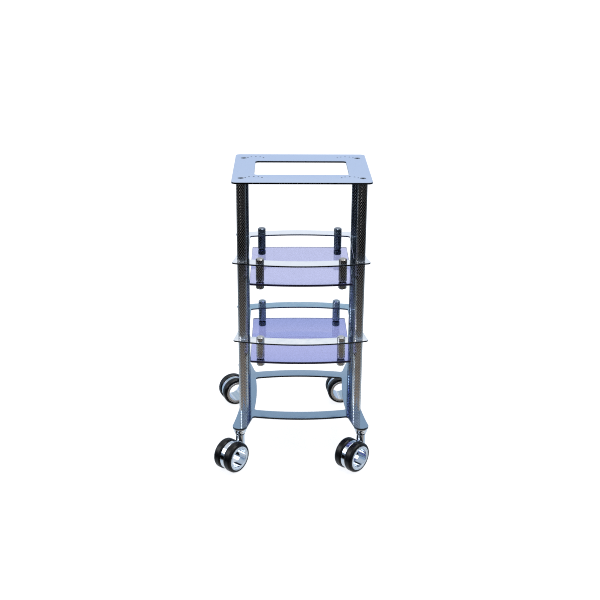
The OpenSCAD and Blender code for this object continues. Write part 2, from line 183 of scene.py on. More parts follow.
def tintedGlass(name):
    # lilac float glass: clear through the face, with faint dust that only shows in the gloss;
    # the tint is graded by height, so the lower shelf is a deeper lilac than the upper, a painted shade on two
    # shelves of one glass
    material, tree = newMaterial(name)
    place = addNode(tree, "ShaderNodeTexCoord").outputs["Object"]
    dust = addNode(tree, "ShaderNodeTexNoise", inputs={"Vector": place, "Scale": 35.0, "Detail": 5.0})
    rough = addNode(tree, "ShaderNodeMapRange", inputs={
        "Value": dust.outputs["Fac"], "From Min": 0.4, "From Max": 0.8, "To Min": 0.0, "To Max": 0.01})
    height = addNode(tree, "ShaderNodeSeparateXYZ", inputs={"Vector": place})
    rise = addNode(tree, "ShaderNodeMapRange", inputs={
        "Value": height.outputs["Z"], "From Min": glassGrade["low"], "From Max": glassGrade["high"]})
    clean = addNode(tree, "ShaderNodeMix", {"data_type": "RGBA"}, {
        "Factor": rise.outputs["Result"], "A": linearColour(glassGrade["lowerTint"]),
        "B": linearColour(glassGrade["upperTint"])})
    tone = addNode(tree, "ShaderNodeMix", {"data_type": "RGBA", "blend_type": "MULTIPLY"}, {
        "Factor": dust.outputs["Fac"], "A": clean.outputs[2], "B": linearColour("#f3f3f6")})
    shader = addNode(tree, "ShaderNodeBsdfPrincipled", inputs={
        "Base Color": tone.outputs[2], "Roughness": rough.outputs["Result"],
        "IOR": 1.5, "Transmission Weight": 1.0})
    finishMaterial(tree, shader)
    return material


def glassEdge(name):
    # polished edge of the same glass: light runs along the sheet and comes out nearly black
    material, tree = newMaterial(name)
    place = addNode(tree, "ShaderNodeTexCoord").outputs["Object"]
    streak = addNode(tree, "ShaderNodeTexNoise", inputs={"Vector": place, "Scale": 25.0, "Detail": 2.0})
    tone = addNode(tree, "ShaderNodeMix", {"data_type": "RGBA"}, {
        "Factor": streak.outputs["Fac"], "A": linearColour("#07060d"), "B": linearColour("#1b1834")})
    shader = addNode(tree, "ShaderNodeBsdfPrincipled", inputs={
        "Base Color": tone.outputs[2], "Roughness": 0.12, "IOR": 1.5})
    finishMaterial(tree, shader)
    return material


def mouldedBlack(name, dark, pale, roughLow, roughHigh, grain, bumpHeight):
    # moulded rubber or nylon: near black, a soft sheen, and a fine pitted skin
    material, tree = newMaterial(name)
    place = addNode(tree, "ShaderNodeTexCoord").outputs["Object"]
    pits = addNode(tree, "ShaderNodeTexNoise", inputs={"Vector": place, "Scale": grain, "Detail": 3.0})
    scuff = addNode(tree, "ShaderNodeTexNoise", inputs={"Vector": place, "Scale": 70.0, "Detail": 4.0})
    tone = addNode(tree, "ShaderNodeMix", {"data_type": "RGBA"}, {
        "Factor": scuff.outputs["Fac"], "A": linearColour(dark), "B": linearColour(pale)})
    rough = addNode(tree, "ShaderNodeMapRange", inputs={
        "Value": scuff.outputs["Fac"], "From Min": 0.3, "From Max": 0.7,
        "To Min": roughLow, "To Max": roughHigh})
    bump = addNode(tree, "ShaderNodeBump", inputs={
        "Height": pits.outputs["Fac"], "Strength": 0.4, "Distance": bumpHeight})
    shader = addNode(tree, "ShaderNodeBsdfPrincipled", inputs={
        "Base Color": tone.outputs[2], "Roughness": rough.outputs["Result"], "Specular IOR Level": 0.25,
        "Normal": bump.outputs["Normal"]})
    finishMaterial(tree, shader)
    return material


# mirror-polished sheet: cool, nearly white, holds a sharp reflection
mirrorPlate = polishedMetal("mirrorPolishedPlate", "#eef3fa", "#e4ebf5", 0.03, 0.08)
# the sheet's cut edge, the same polish painted dark: a painted reflection, a dark line that separates face from
# face
cutPlateEdge = polishedMetal("cutPlateEdge", "#4b535d", "#3f464f", 0.08, 0.2)
# the thicker base sheet: the same polish, painted a shade deeper and bluer, a painted reflection
basePaintedDeeperMetal = polishedMetal("mirrorPolishedBase", "#b4c4d6", "#a9bacd", 0.05, 0.11)
# plated casting: bright, with slightly softer reflections than sheet
casterChrome = polishedMetal("platedCasting", "#dfe5ec", "#cfd7e0", 0.05, 0.12)
# fine-turned rims and rings: an even, pale satin
satinRim = polishedMetal("satinTurnedRim", "#f4f7fb", "#e9eef5", 0.22, 0.34)
# plated screws, coloured dark grey: small dark heads in the pale plate
screwChrome = polishedMetal("platedScrew", "#3c4a55", "#2c3740", 0.12, 0.25)
# plain turned steel of the studs and stems: dull grey
turnedSteel = polishedMetal("turnedSteel", "#8d8f93", "#74777c", 0.25, 0.4)
# painted reflection: dark crests between bright grooves, darker at the top and paler towards the floor
knurledChrome = knurledMetal("diamondKnurledChrome", "#3a3836", "#eceae8", "#a3a09d", "#fbfaf8", "#e2e0de")
lilacGlass = tintedGlass("lilacFloatGlass")
lilacEdge = glassEdge("polishedGlassEdge")
tyreRubber = mouldedBlack("mouldedTyreRubber", "#030304", "#08080b", 0.25, 0.38, 1400.0, 0.00003)
# painted shade: the top plate's dimples and the base plate's stem seats are coloured near black
blackenedRecess = mouldedBlack("blackenedRecess", "#08090c", "#101318", 0.35, 0.5, 900.0, 0.00001)
sealNylon = mouldedBlack("blackNylonSeal", "#050506", "#0d0d0f", 0.4, 0.55, 1800.0, 0.00001)
washerRubber = mouldedBlack("softRubberWasher", "#111113", "#1d1d20", 0.6, 0.75, 1500.0, 0.00002)
print("materials made")


# mesh helpers

def loopQuads(rows, columns, closeRows):
    # quads of a grid of rows by columns that wraps round its columns, and round its rows if closed
    j, i = np.meshgrid(np.arange(rows if closeRows else rows - 1), np.arange(columns), indexing="ij")
    nextI, nextJ = (i + 1) % columns, (j + 1) % rows
    quads = np.stack([j * columns + i, j * columns + nextI, nextJ * columns + nextI, nextJ * columns + i], -1)
    return quads.reshape(-1, 4)


def joinShells(shells):
    # several (points, faces) shells as one; faces is a list of index arrays
    points, faces, start = [], [], 0
    for shellPoints, shellFaces in shells:
        points.append(shellPoints)
        faces += [array + start for array in shellFaces]
        start += len(shellPoints)
    return np.concatenate(points), faces


poleGap = 0.005 * mm   # rings this small are a pole and become one point


def closeMesh(mesh):
    # poles become one point and every face looks outwards
    work = bmesh.new()
    work.from_mesh(mesh)
    bmesh.ops.remove_doubles(work, verts=work.verts, dist=poleGap)
    bmesh.ops.recalc_face_normals(work, faces=work.faces)
    work.to_mesh(mesh)
    work.free()


def cutAway(points, faces, toolPoints, toolFaces):
    # overlapping shells made one solid, less the tool, by an exact boolean
    objects = []
    for name, shell in (("solid", (points, faces)), ("tool", (toolPoints, toolFaces))):
        mesh = bpy.data.meshes.new(name)
        mesh.from_pydata(shell[0].tolist(), [], [face for array in shell[1] for face in array.tolist()])
        closeMesh(mesh)
        objects.append(bpy.data.objects.new(name, mesh))
        bpy.context.scene.collection.objects.link(objects[-1])
    cut = objects[0].modifiers.new("cut", "BOOLEAN")
    cut.operation, cut.solver, cut.use_self, cut.object = "DIFFERENCE", "EXACT", True, objects[1]
    result = bpy.data.meshes.new_from_object(objects[0].evaluated_get(bpy.context.evaluated_depsgraph_get()))
    places = np.empty(len(result.vertices) * 3)
    result.vertices.foreach_get("co", places)
    outlines = [np.array([polygon.vertices[:]]) for polygon in result.polygons]
    bpy.data.meshes.remove(result)
    for obj in objects:
        bpy.data.meshes.remove(obj.data)
    return places.reshape(-1, 3), outlines


def makePiece(name, points, faces, materials, body, slot, stands, kinds=None, relief=None, flat=False):
    # one object from a point array and lists of face index arrays, riding on its CAD body
    mesh = bpy.data.meshes.new(name)
    mesh.from_pydata(points.tolist(), [], [face for array in faces for face in array.tolist()])
    for material in materials:
        mesh.materials.append(material)
    if kinds is not None:
        mesh.polygons.foreach_set("material_index", kinds.astype(np.int32))
    if relief is not None:
        attribute = mesh.attributes.new("relief", "FLOAT", "POINT")
        attribute.data.foreach_set("value", relief.astype(np.float32))
    closeMesh(mesh)
    mesh.polygons.foreach_set("use_smooth", np.full(len(mesh.polygons), not flat))
    obj = bpy.data.objects.new(name, mesh)
    bpy.context.scene.collection.objects.link(obj)
    if not flat:
        mesh.set_sharp_from_angle(angle=math.radians(40))
        weighted = obj.modifiers.new("facesByArea", "WEIGHTED_NORMAL")
        weighted.keep_sharp = True
    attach(obj, body)
    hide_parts(*stands)
    return obj


# plan outlines, as the CAD draws them

def roundCorner(before, corner, after, radius, steps=8):
    # an arc of that radius in place of the corner, tangent to both of its sides
    u = (before - corner) / np.linalg.norm(before - corner)
    v = (after - corner) / np.linalg.norm(after - corner)
    half = math.acos(np.clip(u @ v, -1, 1)) / 2
    centre = corner + (u + v) / np.linalg.norm(u + v) * radius / math.sin(half)
    first = corner + u * radius / math.tan(half) - centre
    last = corner + v * radius / math.tan(half) - centre
    turn = math.atan2(first[0] * last[1] - first[1] * last[0], first @ last)
    angle = math.atan2(first[1], first[0]) + np.linspace(0, turn, steps + 1)
    return centre + radius * np.stack([np.cos(angle), np.sin(angle)], -1)


def roundedLoop(points, radii, steps=8):
    # a closed outline with each corner rounded to its own radius; radius 0 keeps the point
    points = np.array(points, float)
    out = []
    for index, radius in enumerate(radii):
        before, after = points[index - 1], points[(index + 1) % len(points)]
        out.append(roundCorner(before, points[index], after, radius, steps) if radius else points[index][None])
    return np.concatenate(out)


def arch(x, crown, halfWidth, bow):
    # height of a circular arch: crown at the middle, bow lower at half width
    radius = (halfWidth ** 2 + bow ** 2) / (2 * bow)
    return crown - radius + np.sqrt(radius ** 2 - np.asarray(x) ** 2)


def fourWays(quarter):
    # the whole outline, clockwise, from the quarter between the +Y and the +X axis
    quarter = quarter[:-1] if abs(quarter[-1][1]) < 1e-9 else quarter
    right = np.concatenate([quarter, quarter[::-1] * [1, -1]])
    left = right[::-1] * [-1, 1]
    loop = np.concatenate([right, left])
    keep = np.linalg.norm(loop - np.roll(loop, 1, 0), axis=1) > 1e-7
    return loop[keep]


def barAndSide(cornerPoint, crown, sideX, radius, parts=24):
    # a quarter of a frame: an arched bar, a rounded corner and a side that waists in to sideX
    halfWidth, cornerY = cornerPoint
    x = np.linspace(0, halfWidth, parts + 1)[:-2]
    bar = np.stack([x, arch(x, crown, halfWidth, crown - cornerY)], -1)
    t = np.linspace(1, 0, parts + 1)[2:]
    side = np.stack([sideX + (halfWidth - sideX) * t ** 2, cornerY * t], -1)
    return np.concatenate([bar, roundCorner(bar[-1], np.array(cornerPoint), side[0], radius), side])


def signedArea(loop):
    x, y = loop.T
    return 0.5 * np.sum(x * np.roll(y, -1) - np.roll(x, -1) * y)


def circleLoop(centre, radius, steps=32):
    angle = np.linspace(0, 2 * math.pi, steps, endpoint=False)
    return np.array(centre) + radius * np.stack([np.cos(angle), np.sin(angle)], -1)


def insideLoops(places, starts, ends):
    # even-odd rule: how many of the outlines' edges a ray towards +x crosses
    x, y = places[:, :1], places[:, 1:2]
    crossed = (starts[:, 1] > y) != (ends[:, 1] > y)
    slope = (ends[:, 0] - starts[:, 0]) / np.where(ends[:, 1] == starts[:, 1], 1, ends[:, 1] - starts[:, 1])
    return np.sum(crossed & (starts[:, 0] + (y - starts[:, 1]) * slope > x), 1) % 2 == 1


def plate(loops, low, high, edge, cups=(), cupDepth=0, cupTaper=0.9 * mm, steps=4):
    # a flat plate between two heights: each loop's wall is its outline swept through a
    # quarter-round, a straight and a quarter-round, and the faces are filled between the walls;
    # a cup is a blind hole in the top face; kinds are 0 for a face, 1 for a wall and 2 for a cup
    turn = np.linspace(0, math.pi / 2, steps + 1)
    through = (np.concatenate([edge * (1 - np.sin(turn)), edge * (1 - np.cos(turn))]),
               np.concatenate([low + edge * (1 - np.cos(turn)), high - edge * (1 - np.sin(turn))]))
    blind = (np.array([cupTaper, 0.22 * cupTaper, *edge * (1 - np.cos(turn))]),
             np.array([high - cupDepth, high - 0.8 * cupDepth, *high - edge * (1 - np.sin(turn))]))
    points, faces, kinds, ends, start = [], [], [], [[], []], 0
    for order, loop in enumerate([*loops, *cups]):
        isCup = order >= len(loops)
        inset, height = blind if isCup else through
        if (signedArea(loop) > 0) == (order > 0):
            loop = loop[::-1]
        along = np.roll(loop, -1, 0) - np.roll(loop, 1, 0)
        along /= np.linalg.norm(along, axis=1)[:, None]
        outward = np.stack([along[:, 1], -along[:, 0]], -1)
        flatPoints = loop[None] + inset[:, None, None] * outward[None] * (1 if isCup else -1)
        heights = np.broadcast_to(height[:, None, None], (*flatPoints.shape[:2], 1))
        rows = np.concatenate([flatPoints, heights], -1)
        points.append(rows.reshape(-1, 3))
        faces.append(loopQuads(len(height), len(loop), False) + start)
        kinds.append(2 if isCup else 1)
        around = np.arange(len(loop)) + start
        if isCup:
            faces.append(around[None])
            kinds.append(2)
        else:
            ends[0].append(around)
        ends[1].append(around + (len(height) - 1) * len(loop))
        start += rows.shape[0] * rows.shape[1]
    points = np.concatenate(points)
    for side in ends:
        index = np.concatenate(side)
        first = np.cumsum([0] + [len(ring) for ring in side])
        edges = np.concatenate([np.stack([np.arange(len(ring)), np.roll(np.arange(len(ring)), -1)], -1) + at
                                for ring, at in zip(side, first)])
        flatPoints = points[index][:, :2]
        filled = delaunay_2d_cdt([tuple(p) for p in flatPoints], edges.tolist(), [], 1, 1e-7)
        source = np.array([origin[0] for origin in filled[3]])[np.array(filled[2])]
        solid = insideLoops(flatPoints[source].mean(1), flatPoints[edges[:, 0]], flatPoints[edges[:, 1]])
        faces.append(index[source[solid]])
        kinds.append(0)
    return points, faces, np.concatenate([np.full(len(array), kind) for array, kind in zip(faces, kinds)])


def atFour(x, y):
    return [np.array([sx * x, sy * y]) for sy in (-1, 1) for sx in (-1, 1)]


# plates

topPlate = {
    "cornerRadius": 13 * mm,
    "window": (247 * mm, 150 * mm),
    "windowRadius": 9 * mm,
    "edge": 0.35 * mm,
    "screwRadius": 7.8 * mm,
    "dimples": 5,
    "dimpleRadius": 2.75 * mm,
    "dimpleDepth": 1.6 * mm,
    "dimpleArc": 26 * mm,
    "dimpleSpread": 112,
}


def rectangle(width, depth, radius):
    corner = np.array([[-width, -depth], [width, -depth], [width, depth], [-width, depth]]) / 2
    return roundedLoop(corner, [radius] * 4, 12)


def dimpleCentres():
    # on each corner an arc beside the screw, arched towards the rear, running to the middle
    angle = np.radians(90 + topPlate["dimpleSpread"] * np.linspace(-0.5, 0.5, topPlate["dimples"]))
    along = topPlate["dimpleArc"] * (1.27 + np.cos(angle))
    back = topPlate["dimpleArc"] * (np.sin(angle) - 0.35)
    return [centre + [-np.sign(centre[0]) * a, b]
            for centre in atFour(columnX, columnY) for a, b in zip(along, back)]


low, high = boxOf("top_plate")
loops = [rectangle(*(high - low)[:2], topPlate["cornerRadius"]),
         rectangle(*topPlate["window"], topPlate["windowRadius"])]
loops += [circleLoop(c, topPlate["screwRadius"]) for c in atFour(columnX, columnY)]
dimples = [circleLoop(c, topPlate["dimpleRadius"], 16) for c in dimpleCentres()]
points, faces, kinds = plate(loops, low[2], high[2], topPlate["edge"], dimples, topPlate["dimpleDepth"])
makePiece("topPlate", points, faces, [mirrorPlate, cutPlateEdge, blackenedRecess], "frame", "mirror_plate",
          ["top_plate"], kinds)

ringShape = {"barWidth": 39.5 * mm, "bow": 20 * mm, "tipOut": 27 * mm, "sideOut": 11.5 * mm,
             "sideIn": 16 * mm, "tipRadius": 8 * mm, "windowRadius": 9 * mm, "edge": 0.35 * mm}


def ringLoops(crown):
    shape = ringShape
    tipX, innerX = columnX + shape["tipOut"], columnX - shape["sideIn"]
    innerCrown = crown - shape["barWidth"]
    tip = (tipX, float(arch(tipX, crown, columnX, shape["bow"])))
    inner = (innerX, float(arch(innerX, innerCrown, columnX, shape["bow"])))
    outside = fourWays(barAndSide(tip, crown, columnX + shape["sideOut"], shape["tipRadius"]))
    window = fourWays(barAndSide(inner, innerCrown, innerX - 0.01 * mm, shape["windowRadius"]))
    holes = [circleLoop(c, tubeBore) for c in atFour(columnX, columnY)]
    return [outside, window, *holes, *(circleLoop(c, postBore) for c in atFour(postX, postY))]


for level in ("upper", "lower"):
    low, high = boxOf(level + "_ring")
    points, faces, kinds = plate(ringLoops(high[1]), low[2], high[2], ringShape["edge"])
    makePiece(level + "Ring", points, faces, [mirrorPlate, cutPlateEdge], "frame", "mirror_plate",
              [level + "_ring"], kinds)

baseShape = {"barEndIn": 26 * mm, "armRadius": 20 * mm, "notchRadius": 7 * mm, "sideIn": 33 * mm,
             "windowRadius": 9 * mm, "edge": 0.4 * mm}


def baseLoops(crown):
    # outside: arched bar, rounded notch, round caster arm, waisted side; inside: a frame window
    shape, bow = baseShape, ringShape["bow"]
    endX = columnX - shape["barEndIn"]
    innerCrown = crown - ringShape["barWidth"]
    x = np.linspace(0, endX, 25)[:-1]
    bar = np.stack([x, arch(x, crown, columnX, bow)], -1)
    notch = np.array([endX, float(arch(endX, crown, columnX, bow))])
    angle = np.radians(np.linspace(170, 0, 25))
    arm = np.array([stemX, stemY]) + shape["armRadius"] * np.stack([np.cos(angle), np.sin(angle)], -1)
    t = np.linspace(1, 0, 25)[1:]
    waist = shape["armRadius"] - 1 * mm
    side = np.stack([stemX + shape["armRadius"] - waist * (1 - t ** 2), stemY * t], -1)
    rounded = roundCorner(bar[-1], notch, arm[0], shape["notchRadius"])
    outside = fourWays(np.concatenate([bar, rounded, arm, side]))
    cornerX = endX - 2 * mm
    inner = (cornerX, float(arch(cornerX, innerCrown, columnX, bow)))
    window = fourWays(barAndSide(inner, innerCrown, columnX - shape["sideIn"], shape["windowRadius"]))
    return [outside, window, *(circleLoop(c, topPlate["screwRadius"]) for c in atFour(columnX, columnY))]


low, high = boxOf("base_plate")
seats = [circleLoop(c * [1, -1], stemBore) for c in atFour(stemX, stemY)]
crown = boxOf("upper_ring")[1][1]
points, faces, kinds = plate(baseLoops(crown), low[2], high[2], baseShape["edge"], seats, stemSink, 0)
points[:, 2] = low[2] + high[2] - points[:, 2]   # turned over: the seats are in the lower face
makePiece("basePlate", points, faces, [basePaintedDeeperMetal, cutPlateEdge, blackenedRecess], "frame", "base_mirror",
          ["base_plate"], kinds)
print("plates made")


# glass shelves

shelfShape = {"sideDepth": 304 * mm, "frontBow": 11 * mm, "rearBow": 3 * mm, "cornerRadius": 5 * mm,
              "edge": 0.8 * mm, "holeRadius": 5 * mm}


def shelfLoops(halfWidth):
    sideY = shelfShape["sideDepth"] / 2
    x = np.linspace(halfWidth, -halfWidth, 41)[1:-1]
    rear = np.stack([x, arch(x, sideY + shelfShape["rearBow"], halfWidth, shelfShape["rearBow"])], -1)
    front = np.stack([-x, -arch(x, sideY + shelfShape["frontBow"], halfWidth, shelfShape["frontBow"])], -1)
    cornerAt = [np.array([sx * halfWidth, sy * sideY]) for sx, sy in ((1, 1), (-1, 1), (-1, -1), (1, -1))]
    r = shelfShape["cornerRadius"]
    middle = np.array([halfWidth, 0])
    outside = np.concatenate([
        roundCorner(middle, cornerAt[0], rear[0], r), rear,
        roundCorner(rear[-1], cornerAt[1], -middle, r),
        roundCorner(-middle, cornerAt[2], front[0], r), front,
        roundCorner(front[-1], cornerAt[3], middle, r)])
    return [outside] + [circleLoop(c, shelfShape["holeRadius"]) for c in atFour(postX, postY)]


for level in ("upper", "lower"):
    low, high = boxOf(level + "_glass_shelf")
    points, faces, kinds = plate(shelfLoops(high[0]), low[2], high[2], shelfShape["edge"])
    makePiece(level + "GlassShelf", points, faces, [lilacGlass, lilacEdge], "frame", "tinted_glass",
              [level + "_glass_shelf"], kinds)
print("shelves made")


# knurled columns and posts

columnKnurl = {"starts": 14, "pitch": 8.8 * mm, "depth": 0.32 * mm, "crest": 0.24, "chamfer": 1.2 * mm,
               "plain": 1.0 * mm}
postKnurl = {"starts": 13, "pitch": 8.2 * mm, "depth": 0.32 * mm, "crest": 0.24, "chamfer": 1.2 * mm,
             "plain": 0.8 * mm}


def ridge(t):
    # triangle wave: 0 in a groove, at whole numbers, and 1 half-way between
    return 1 - np.abs(2 * (t - np.floor(t)) - 1)


def knurledSleeve(centre, radius, low, high, knurl, lowChamfer, highChamfer, bore, boreLow, boreHigh, per=8):
    # radius = R - depth * (1 - min(two ridge waves along opposite helices) / crest), faded out
    # to plain chamfered ends; split along the grooves, so that they stay straight; the bore runs
    # from boreLow to boreHigh and is open where it reaches an end
    length = high - low
    rows = max(per, round(length / knurl["pitch"] * per))
    columns = knurl["starts"] * per
    j, i = np.meshgrid(np.arange(rows + 1), np.arange(columns), indexing="ij")
    u, v = i / per, j / per
    relief = np.clip(np.minimum(ridge(u + v), ridge(u - v)) / knurl["crest"], 0, 1)
    z = low + length * j / rows
    fade = np.clip((np.minimum(z - low - lowChamfer, high - highChamfer - z)) / knurl["plain"], 0, 1)
    r = radius - knurl["depth"] * (1 - relief) * fade
    r = np.minimum(r, radius - np.maximum(0, lowChamfer - (z - low)))
    r = np.minimum(r, radius - np.maximum(0, highChamfer - (high - z)))
    relief = relief * (fade > 0)
    angle = 2 * math.pi * i / columns
    points = np.stack([centre[0] + r * np.cos(angle), centre[1] + r * np.sin(angle), z], -1).reshape(-1, 3)
    a = (j * columns + i)[:-1]
    b = (j * columns + (i + 1) % columns)[:-1]
    c, d = a + columns, b + columns
    uMid, vMid = (i[:-1] + 0.5) / per, (j[:-1] + 0.5) / per
    forward = (ridge(uMid + vMid) >= ridge(uMid - vMid))[..., None]
    first = np.where(forward, np.stack([a, b, d], -1), np.stack([a, b, c], -1)).reshape(-1, 3)
    second = np.where(forward, np.stack([a, d, c], -1), np.stack([b, d, c], -1)).reshape(-1, 3)
    around = np.arange(columns)
    turn = 2 * math.pi * around / columns
    boreX, boreY = centre[0] + bore * np.cos(turn), centre[1] + bore * np.sin(turn)
    wall = [np.stack([boreX, boreY, np.full(columns, z)], -1) for z in (boreLow, boreHigh)]
    wallAt = len(points)
    faces = [first, second, loopQuads(2, columns, False) + wallAt]
    middles, middleAt = [], wallAt + 2 * columns
    for end, boreEnd, outer, inner in ((low, boreLow, around, around + wallAt),
                                       (high, boreHigh, around + rows * columns, around + wallAt + columns)):
        if abs(end - boreEnd) < poleGap:
            faces.append(np.stack([outer, np.roll(outer, -1), np.roll(inner, -1), inner], -1))
            continue
        for ring, z in ((outer, end), (inner, boreEnd)):
            faces.append(np.stack([ring, np.roll(ring, -1), np.full(columns, middleAt + len(middles))], -1))
            middles.append([*centre, z])
    relief = np.concatenate([relief.reshape(-1), np.zeros(2 * columns + len(middles))])
    return np.concatenate([points, *wall, np.array(middles).reshape(-1, 3)]), faces, relief


for level in levels:
    for corner in corners:
        node = f"{level}_column_{corner}"
        low, high = boxOf(node)
        points, faces, relief = knurledSleeve((low + high)[:2] / 2, (high - low)[0] / 2, low[2], high[2],
                                              columnKnurl, columnKnurl["chamfer"], columnKnurl["chamfer"],
                                              tubeBore, low[2], high[2])
        makePiece(level + "Column_" + corner, points, faces, [knurledChrome], "frame", "knurled_chrome",
                  [node], relief=relief, flat=True)

postParts = {
    "post_caps": (0.8 * mm, 2.2 * mm),
    "post_spacers": (1.2 * mm, 1.2 * mm),
    "post_feet": (2.2 * mm, 1.2 * mm),
}
for level in ("upper", "lower"):
    for part, (lowChamfer, highChamfer) in postParts.items():
        low, high = boxOf(f"{level}_{part}")
        boreLow = high[2] - postGrip if part == "post_feet" else low[2]
        boreHigh = low[2] + postGrip if part == "post_caps" else high[2]
        shells = [knurledSleeve(c, postRadius, low[2], high[2], postKnurl, lowChamfer, highChamfer,
                                postBore, boreLow, boreHigh) for c in atFour(postX, postY)]
        points, faces = joinShells([shell[:2] for shell in shells])
        relief = np.concatenate([shell[2] for shell in shells])
        makePiece(f"{level}_{part}_knurled", points, faces, [knurledChrome], "frame", "knurled_chrome",
                  [f"{level}_{part}"], relief=relief, flat=True)
print("columns and posts made")


# turned pieces: a profile carried round an axis

poleRadius = 0.001 * mm


def turned(profile, radii, steps=128, closed=True):
    # the profile's [radius, height] corners, each rounded, carried round the z axis;
    # a profile that isn't closed ends on the axis at both ends
    if closed:
        section = roundedLoop(profile, radii, 5)
    else:
        profile = np.array(profile, float)
        bends = [roundCorner(profile[k - 1], profile[k], profile[k + 1], radii[k], 5) if radii[k]
                 else profile[k][None] for k in range(1, len(profile) - 1)]
        section = np.concatenate([profile[:1], *bends, profile[-1:]])
        section[[0, -1], 0] = poleRadius
    angle = np.linspace(0, 2 * math.pi, steps, endpoint=False)
    r, h = section[:, :1], section[:, 1:]
    points = np.stack([r * np.cos(angle), r * np.sin(angle), np.broadcast_to(h, (len(r), steps))], -1)
    return points.reshape(-1, 3), [loopQuads(len(section), steps, closed)]


class CasterPlace:
    # stem axis at the origin of the local frame, wheels trailing along x, axle along y
    def __init__(self, corner):
        stem = np.array(joints[corner + "_swivel"]["pos_m"])
        hub = np.array(joints[corner + "_roll_1"]["pos_m"])
        self.stem = np.array([stem[0], stem[1], 0])
        self.trail = np.linalg.norm((hub - stem)[:2])
        self.axleHeight = hub[2]
        forward = np.array([*((hub - stem)[:2] / self.trail), 0])
        axle = np.array(joints[corner + "_roll_1"]["axis"])
        self.turn = np.stack([forward, axle, [0, 0, 1]])

    def local(self, points):
        return points @ self.turn + self.stem

    def onAxle(self, points):
        # from a piece turned about z to one turned about the axle
        x, y, z = points.T
        return self.local(np.stack([x + self.trail, z, self.axleHeight - y], -1))


casterShape = {
    "bandWidth": 12.6 * mm, "bandRadius": 39 * mm, "holeRadius": 26.2 * mm, "hubWall": 2.6 * mm,
    "tyreRadius": 42 * mm, "tyreWidth": 22 * mm, "gap": 0.6 * mm, "rimRadius": 33.6 * mm,
    "lockWidth": 2.2 * mm, "lockOver": 1.8 * mm, "neckRadius": 12 * mm, "neckClear": 43.2 * mm,
    "boreRadius": 6.06 * mm, "boreDepth": 31 * mm, "neckAbove": 6 * mm, "neckFoot": 5 * mm,
    "neckRise": 9 * mm, "neckChamfer": 1 * mm, "beyond": 2 * mm, "tubeShort": 1.4 * mm,
}


def yokeShell(place, neckTop):
    # the hub tube with its band is turned about the axle; the neck is turned about the stem
    # and cut back to the band's width where the tyres pass; then both are bored for the stem
    s = casterShape
    tubeEnd = s["bandWidth"] / 2 + s["gap"] + s["tyreWidth"] - s["tubeShort"]
    hub = s["holeRadius"] + s["hubWall"]
    half = s["bandWidth"] / 2
    profile = [[s["holeRadius"], -tubeEnd], [hub, -tubeEnd], [hub, -half], [s["bandRadius"], -half],
               [s["bandRadius"], half], [hub, half], [hub, tubeEnd], [s["holeRadius"], tubeEnd]]
    radii = [0.2 * mm, 0.2 * mm, 0.8 * mm, 1.2 * mm, 1.2 * mm, 0.8 * mm, 0.2 * mm, 0.2 * mm]
    points, faces = turned(profile, radii)
    band = (place.onAxle(points), faces)
    neckLow = place.axleHeight + s["neckAbove"]
    r = s["neckRadius"]
    outline = [[0, neckLow], [r - s["neckFoot"], neckLow], [r, neckLow + s["neckRise"]],
               [r, neckTop - s["neckChamfer"]], [r - s["neckChamfer"], neckTop], [0, neckTop]]
    neck, neckFaces = turned(outline, [0, 0.5 * mm, 6 * mm, 0.3 * mm, 0.3 * mm, 0], 128, False)
    room = half + s["gap"] + s["tyreWidth"] + s["beyond"]
    clears = [turned([[0, side * half], [s["neckClear"], side * half], [s["neckClear"], side * room],
                      [0, side * room]], [0, 0, 0, 0], 192, False) for side in (1, -1)]
    inHub = [[0, -2 * half], [hub, -2 * half], [hub, 2 * half], [0, 2 * half]]
    clears.append(turned(inHub, [0, 0, 0, 0], 128, False))
    clear, clearFaces = joinShells([(place.onAxle(shell), shellFaces) for shell, shellFaces in clears])
    neck = cutAway(place.local(neck), neckFaces, clear, clearFaces)
    boreEnd = neckTop - s["boreDepth"]
    openEnd = neckTop + s["beyond"]
    bore = [[0, boreEnd], [s["boreRadius"], boreEnd], [s["boreRadius"], openEnd], [0, openEnd]]
    tool, toolFaces = turned(bore, [0, 0, 0, 0], 96, False)
    points, faces = joinShells([band, neck])
    points, faces = cutAway(points, faces, place.local(tool), toolFaces)
    return (points - place.stem) @ place.turn.T, faces


def rimShell(place, side):
    s = casterShape
    inner = s["holeRadius"] + s["hubWall"] + 0.06 * mm
    near = s["bandWidth"] / 2 + s["gap"]
    far = near + s["tyreWidth"]
    seat = s["rimRadius"]
    step = s["holeRadius"] + s["hubWall"] + s["lockOver"] + s["gap"]
    profile = [[inner, near], [seat, near], [seat, far + 0.5 * mm], [seat - 0.5 * mm, far + 0.8 * mm],
               [step, far + 0.6 * mm], [step, far - 1.9 * mm], [inner, far - 1.9 * mm]]
    points, faces = turned(profile, [0.2 * mm, 0.3 * mm, 0.2 * mm, 0.2 * mm, 0.2 * mm, 0.1 * mm, 0.1 * mm])
    return place.onAxle(points * [1, 1, side]), faces


def tyreShell(place, side):
    # a rounded tread with a fine moulding rib near each shoulder
    s = casterShape
    near = s["bandWidth"] / 2 + s["gap"]
    far = near + s["tyreWidth"]
    tread, seat = s["tyreRadius"], s["rimRadius"]
    profile = [[seat, near], [tread - 2.2 * mm, near], [tread, near + 4.2 * mm], [tread, far - 5.2 * mm],
               [tread - 2.6 * mm, far - 0.6 * mm], [seat + 2.6 * mm, far], [seat + 2.1 * mm, far - 0.5 * mm],
               [seat, far - 0.5 * mm]]
    radii = [0.2 * mm, 1.6 * mm, 2.6 * mm, 4.5 * mm, 2.5 * mm, 0.4 * mm, 0.2 * mm, 0.1 * mm]
    points, faces = turned(profile, radii)
    return place.onAxle(points * [1, 1, side]), faces


